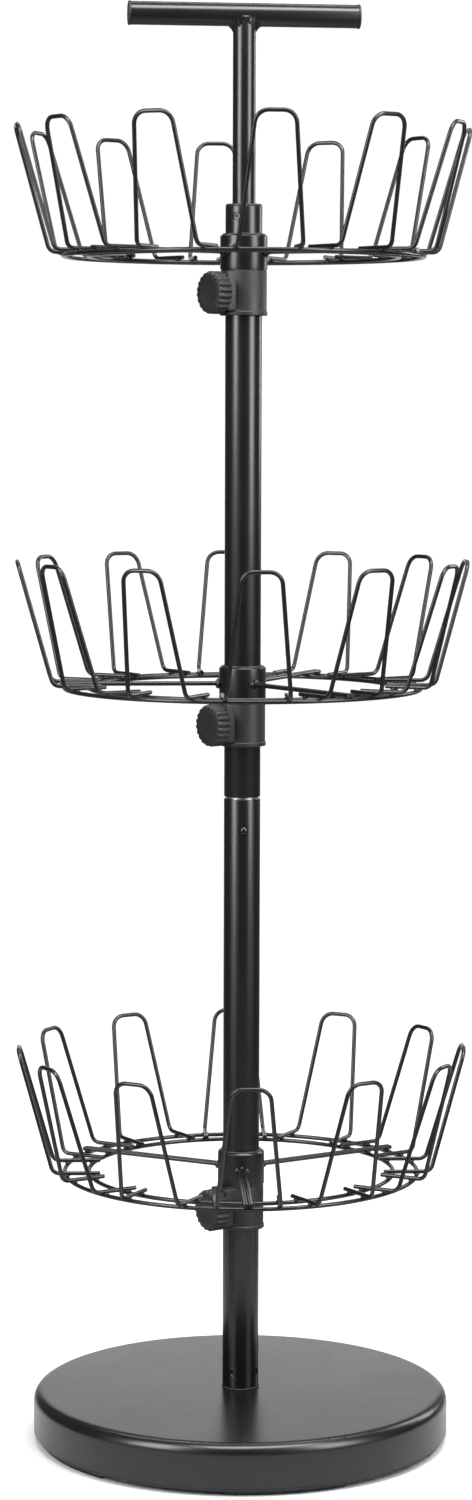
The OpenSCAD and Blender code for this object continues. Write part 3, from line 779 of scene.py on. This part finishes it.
class RACK_OT_pole(bpy.types.Operator):
    """Makes the two pole tubes, the washer and bushing, the set screws and the snap button"""
    bl_idname = "rack.pole"
    bl_label = "Pole"

    def execute(self, context):
        stand = context.scene.rack_stand
        bore = POLE_R - stand.wall
        screw_fit, close_fit, touch = 0.0003, 0.0001, 0.00005
        screw_z, screw_r = centre_z("foot_screws"), half_height("foot_screws")
        stem_z, stem_r = centre_z("rod_screw"), half_height("rod_screw")
        button_z, button_r = centre_z("snap_button"), half_height("snap_button")
        button_axis = -joint_axis("snap_press")
        button_turn = math.atan2(button_axis.y, button_axis.x)

        bits = bmesh.new()
        for k in range(stand.foot_screws):
            turn = stand.screw_turn + k * 2 * math.pi / stand.foot_screws
            bits.from_mesh(drill_bit(screw_r + screw_fit, turn, screw_z))
        bits.from_mesh(drill_bit(button_r + close_fit, button_turn, button_z))
        for name, node, holes in (
                ("lower_tube", "lower_pole", mesh_from(bits, "bits")),
                ("upper_tube", "upper_pole", drill_bit(stem_r + close_fit, stand.stem_screw_turn, stem_z))):
            lo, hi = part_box(node)
            tube = lathe("tube", tube_outline(POLE_R, bore, lo.z, hi.z), 128)
            add_piece(name, drilled(tube, holes, name), "stand", "black_coating", [node])

        screw = socket_screw("set_screw", 0.0, screw_z, screw_r, POLE_R - 0.0008, 0.0055)
        screws = repeated(screw, "foot_set_screws", stand.foot_screws, stand.screw_turn, "black_oxide")
        add_piece("foot_set_screws", screws, "stand", "black_oxide", ["foot_screws"])
        screw = socket_screw("stem_set_screw", stand.stem_screw_turn, stem_z, stem_r, POLE_R - 0.0011, 0.0036)
        add_piece("stem_set_screw", screw, "stand", "black_oxide", ["rod_screw"])

        lo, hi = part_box("pole_washer")
        add_piece("foot_washer", lathe("foot_washer", tube_outline(hi.x, bore, lo.z, hi.z), 96),
                  "stand", "rubber_feet", ["pole_washer"])

        lo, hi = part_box("top_bushing")
        top, outer, stem = high("upper_pole").z, bore - touch, width_x("handle_rod") / 2 + touch
        outline = rounded([(outer, lo.z, 0.0003), (outer, top, 0), (hi.x, top, 0.0002), (hi.x, hi.z, 0.0008),
                           (stem, hi.z, 0.0003), (stem, lo.z, 0)], steps=4)
        add_piece("stem_bushing", lathe("stem_bushing", outline, 96), "stand", "black_plastic", ["top_bushing"])

        stands_out, button_length, shoulder, dome = 0.002, 0.0058, 0.0036, 0.0022
        outline = [(0, 0), (button_r, 0), (button_r, shoulder)]
        outline += [(button_r * math.cos(a), shoulder + dome * math.sin(a))
                    for a in (math.pi / 2 * k / 10 for k in range(1, 10))]
        outline.append((0, shoulder + dome))
        root = Vector((0, 0, button_z)) + button_axis * (POLE_R + stands_out - button_length)
        add_piece("snap_dome", lathe("snap_dome", outline, 40, along(root, button_axis)), "snap_catch",
                  "black_oxide", ["snap_button"])
        return {"FINISHED"}


# ---- handle ----

def weld_mesh(centre, bar_axis, stem_r, leg):
    """Weld round a stem that meets a cross tube from below. It follows the saddle where they meet."""
    up = Vector((0, 0, 1))
    across = up.cross(bar_axis)
    steps, sections, widest = 144, 8, 0.985 * BAR_R
    bm = bmesh.new()
    rows = []
    for k in range(steps):
        a = 2 * math.pi * k / steps
        width = leg * (1 + 0.10 * math.sin(23 * a) + 0.06 * math.sin(9 * a + 1.0))

        def on_bar(reach):
            side = max(-widest, min(widest, reach * math.sin(a)))
            return (centre + bar_axis * reach * math.cos(a) + across * side
                    - up * math.sqrt(BAR_R ** 2 - side ** 2))

        root, top, corner = on_bar(stem_r * 0.93), on_bar(stem_r + width * 0.8), on_bar(stem_r)
        wall = bar_axis * math.cos(a) + across * math.sin(a)
        foot = wall * (stem_r - 0.0001) + Vector((0, 0, corner.z - width))
        mid = wall * (stem_r + 0.22 * width) + Vector((0, 0, corner.z - 0.25 * width))
        row = [root]
        for t in (i / sections for i in range(sections + 1)):
            row.append(foot * (1 - t) ** 2 + mid * 2 * t * (1 - t) + top * t ** 2)
        rows.append([bm.verts.new(p) for p in row])
    skin(bm, rows, closed=True)
    return mesh_from(bm, "handle_fillet")


class RACK_OT_handle(bpy.types.Operator):
    """Makes the handle's cross tube, stem, weld and end plugs"""
    bl_idname = "rack.handle"
    bl_label = "Handle"

    def execute(self, context):
        stand = context.scene.rack_stand
        bar_z, half, wall = centre_z("handle_bar"), stand.bar_length / 2, stand.handle_wall
        bar_axis, centre = heading(stand.bar_turn), Vector((0, 0, bar_z))
        bar = tube_outline(BAR_R, BAR_R - wall, 0, stand.bar_length, 0.0003)
        add_piece("handle_cross_tube", lathe("handle_cross_tube", bar, 96, along(centre - bar_axis * half, bar_axis)),
                  "stand", "black_coating", ["handle_bar"])

        stem_r = width_x("handle_rod") / 2
        stem = tube_outline(stem_r, stem_r - wall, low("handle_rod").z, bar_z - BAR_R * 0.35, 0.0003)
        add_piece("handle_stem", lathe("handle_stem", stem, 96), "stand", "black_coating", ["handle_rod"])
        add_piece("handle_fillet", weld_mesh(centre, bar_axis, stem_r, stand.weld_width), "stand", "black_coating",
                  ["handle_weld"], 60)

        rim, neck, neck_length, cap = BAR_R + 0.00035, BAR_R - 0.00135, 0.012, 0.0014
        outline = [(0, -neck_length), (neck, -neck_length), (neck, 0), (rim, 0)]
        outline += rounded([(rim, 0, 0), (rim, cap, 0.0007), (0, cap + 0.0001, 0)], closed=False, steps=5)[1:]
        bm = bmesh.new()
        for side in (-1, 1):
            lathe_into(bm, outline, 72, along(centre + bar_axis * half * side, bar_axis * side))
        add_piece("handle_end_plugs", mesh_from(bm, "handle_end_plugs"), "stand", "black_plastic", ["handle_plugs"])
        return {"FINISHED"}


# ---- tiers ----

class RACK_OT_tiers(bpy.types.Operator):
    """Makes the rings, spokes, loops, welds and hubs of the three tiers"""
    bl_idname = "rack.tiers"
    bl_label = "Tiers"

    def execute(self, context):
        wire = context.scene.rack_wire
        trees = {"wire": wire_tree(), "bead": bead_tree()}
        turns = {"bottom": wire.bottom_turn, "middle": wire.middle_turn, "top": wire.top_turn}

        def add_round(tier, piece, kind, chains, copies, sharp_degrees, nodes=(), closed=False, **values):
            """A piece made of wires or weld beads that repeat round the tier."""
            mesh = run_tree(trees[kind], chain_mesh(chains, closed), {
                "Copies": copies, "First turn": turns[tier], "Material": FINISHES["black_coating"],
                **{name.replace("_", " "): value for name, value in values.items()}}, piece)
            add_piece(tier + "_" + piece, mesh, tier + "_tier", "black_coating",
                      [tier + "_" + node for node in nodes], sharp_degrees)

        for seed, tier in enumerate(TIERS):
            ring_z, foot_z = centre_z(tier + "_outer_ring"), centre_z(tier + "_spokes")
            rings = [[Vector((r * math.cos(a), r * math.sin(a), ring_z))
                      for a in (2 * math.pi * k / 180 for k in range(180))] for r in (OUTER_R, INNER_R)]
            add_round(tier, "rings", "wire", rings, 1, 50, ["outer_ring", "inner_ring"], True,
                      Wire_radius=WIRE_R, Sides=14)

            in_hub, past_ring = HUB_R - 0.0012, OUTER_R + 0.003
            step = WIRE_R + wire.spoke_gap / 2
            pair = [[Vector((in_hub, s * step, foot_z)), Vector((past_ring, s * step, foot_z))] for s in (-1, 1)]
            add_round(tier, "spoke_pairs", "wire", pair, wire.spokes, 50, ["spokes"], Wire_radius=WIRE_R, Sides=16)

            foot, top = wire.foot_width / 2, wire.top_width / 2
            start_r, leg_r = INNER_R - wire.foot_in, OUTER_R + wire.leg_out
            top_r, top_z = leg_r + wire.lean, ring_z + wire.loop_height
            loop = bent_path([
                (Vector((start_r, -foot, foot_z)), 0), (Vector((leg_r, -foot, foot_z)), wire.foot_bend),
                (Vector((top_r, -top, top_z)), wire.top_bend), (Vector((top_r, top, top_z)), wire.top_bend),
                (Vector((leg_r, foot, foot_z)), wire.foot_bend), (Vector((start_r, foot, foot_z)), 0)])
            add_round(tier, "loops", "wire", [loop], wire.loops, 50, ["loops_a", "loops_b", "loops_c"],
                      Wire_radius=WIRE_R, Sides=14)

            # Cross-wire welds: each squeezes a flattened nugget out between the two wires
            between = (ring_z + foot_z) / 2
            crossings = [(r, s) for r in (OUTER_R, INNER_R) for s in (-1, 1)]
            on_loops = [Vector((math.sqrt(r * r - foot * foot), s * foot, between)) for r, s in crossings]
            on_spokes = [Vector((r, s * step, between)) for r, s in crossings]
            # Arc welds at the hub: a bead on each side of a pair, and one above and one below it
            at_hub = [Vector((HUB_R + out, y, foot_z + dz)) for out, y, dz in (
                (0.0004, -0.0036, 0.0002), (0.0004, 0.0036, -0.0003), (0.0003, 0, -0.0014), (0.0003, 0, 0.0014))]
            for piece, spots, copies, size, first_seed in (
                    ("loop_welds", on_loops, wire.loops, (0.0021, 0.0021, 0.0010), 0),
                    ("spoke_welds", on_spokes, wire.spokes, (0.0021, 0.0019, 0.0010), 10),
                    ("hub_welds", at_hub, wire.spokes, (0.0021, 0.0019, 0.0021), 20)):
                add_round(tier, piece, "bead", [[p] for p in spots], copies, 60, Bead_size=size,
                          Seed=seed + first_seed)

            lo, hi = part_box(tier + "_hub")
            bore, crown = HUB_R - 0.0018, 0.0012
            outline = rounded([(HUB_R, lo.z, 0.0004), (HUB_R, hi.z - crown, 0.0005), (HUB_R - crown, hi.z, 0.0004),
                               (bore, hi.z, 0.0002), (bore, lo.z, 0)], steps=4)
            add_piece(tier + "_hub_sleeve", lathe("hub", outline, 96), tier + "_tier", "black_coating",
                      [tier + "_hub"], 40)

            lo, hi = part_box(tier + "_hub_bush")
            flange, flange_top, inner = HUB_R - 0.0006, lo.z + 0.0008, POLE_R + 0.0001
            outline = rounded([(flange, lo.z, 0.0002), (flange, flange_top, 0.0002), (bore, flange_top, 0),
                               (bore, hi.z, 0.0003), (inner, hi.z, 0.0003), (inner, lo.z, 0.0002)], steps=3)
            add_piece(tier + "_bush", lathe("bush", outline, 96), tier + "_tier", "nylon", [tier + "_hub_bush"])
        return {"FINISHED"}


# ---- clamps ----

class RACK_OT_clamps(bpy.types.Operator):
    """Makes the three collars and their fluted knobs"""
    bl_idname = "rack.clamps"
    bl_label = "Clamps"

    def execute(self, context):
        clamp = context.scene.rack_clamp
        out = joint_axis("bottom_knob_turn")
        turn = Matrix.Rotation(math.atan2(out.y, out.x), 4, "Z")
        outer, lip_r, inner = clamp.collar_radius, clamp.collar_radius + clamp.lip, POLE_R + 0.00005
        half, face, chamfer, corner = clamp.boss_width / 2, clamp.boss_reach, 0.0006, 0.0010
        thick, big, depth, count = clamp.knob_thickness, clamp.knob_radius, clamp.flute_depth, clamp.flutes

        def reach(a, r, z):
            """Cuts the flutes into the knob's side, and lets them fade out over its rim."""
            share = max(0.0, min(1.0, (r / big - 0.80) / 0.14))
            wave = 0.5 + 0.5 * math.cos(count * a)
            return r - depth * share * wave ** 2

        knob_outline = rounded([
            (0, 0, 0), (big - 0.0010, 0, 0.0002), (big, 0.0010, 0.0005), (big, thick - 0.0002, 0.0024),
            (big * 0.62, thick, 0.002), (0, thick - 0.0010, 0)], closed=False, steps=6)

        for tier in TIERS:
            lo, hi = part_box(tier + "_collar")
            lip_top = lo.z + 0.003
            outline = rounded([
                (lip_r, lo.z, 0.0004), (lip_r, lo.z + 0.0025, 0.0003), (outer, lip_top, 0.0003),
                (outer, hi.z, 0.0006), (inner, hi.z, 0.0003), (inner, lo.z, 0.0003)], steps=4)
            bm = lathe_into(bmesh.new(), outline, 96)

            def block(inset, radius):
                """Outline of the block behind the knob, drawn in by an inset."""
                y, z0, z1 = half - inset, lip_top + inset, hi.z - chamfer - inset
                return rounded([(-y, z0, radius), (y, z0, radius), (y, z1, radius), (-y, z1, radius)], steps=4)

            section, inset = block(0, corner), block(chamfer, corner * 0.6)
            shoulder = [(a[0] * 0.35 + b[0] * 0.65, a[1] * 0.35 + b[1] * 0.65) for a, b in zip(inset, section)]
            # The block starts inside the collar's wall
            layers = [(0.0134, section), (face - chamfer, section), (face - 0.00018, shoulder), (face, inset)]
            skin(bm, [[bm.verts.new(turn @ Vector((x, y, z))) for y, z in ring] for x, ring in layers])
            add_piece(tier + "_clamp_collar", mesh_from(bm, "collar"), tier + "_clamp", "black_plastic",
                      [tier + "_collar"], 35)

            centre = Vector((0, 0, centre_z(tier + "_knob"))) + out * (face + 0.0002)
            knob = lathe("knob", knob_outline, count * 12, along(centre, out), reach)
            add_piece(tier + "_fluted_knob", knob, tier + "_screw", "black_plastic", [tier + "_knob"], 40)
        return {"FINISHED"}


# ---- panel and registration ----

class RACK_PT_panel(bpy.types.Panel):
    """Lists the rack's makers"""
    bl_idname = "RACK_PT_panel"
    bl_label = "Revolving display rack"
    bl_space_type = "VIEW_3D"
    bl_region_type = "UI"
    bl_category = "Rack"

    def draw(self, context):
        for operator in OPERATORS:
            self.layout.operator(operator.bl_idname)
        for group in ("rack_stand", "rack_wire", "rack_clamp", "rack_finish", "rack_stage"):
            settings = getattr(context.scene, group)
            box = self.layout.box()
            for key in settings.bl_rna.properties.keys():
                if key not in ("rna_type", "name"):
                    box.prop(settings, key)


OPERATORS = (RACK_OT_finishes, RACK_OT_stage, RACK_OT_base, RACK_OT_pole, RACK_OT_handle, RACK_OT_tiers,
             RACK_OT_clamps)
GROUPS = {"rack_stand": RackStandSettings, "rack_wire": RackWireSettings, "rack_clamp": RackClampSettings,
          "rack_finish": RackFinishSettings, "rack_stage": RackStageSettings}


def register():
    for cls in (*GROUPS.values(), *OPERATORS, RACK_PT_panel):
        bpy.utils.register_class(cls)
    for name, cls in GROUPS.items():
        setattr(bpy.types.Scene, name, PointerProperty(type=cls))


def unregister():
    for name in GROUPS:
        delattr(bpy.types.Scene, name)
    for cls in reversed((*GROUPS.values(), *OPERATORS, RACK_PT_panel)):
        bpy.utils.unregister_class(cls)


def main():
    register()
    bpy.ops.rack.finishes()
    bpy.ops.rack.stage()
    bpy.ops.rack.base()
    bpy.ops.rack.pole()
    bpy.ops.rack.handle()
    bpy.ops.rack.tiers()
    bpy.ops.rack.clamps()


if __name__ == "__main__":
    main()
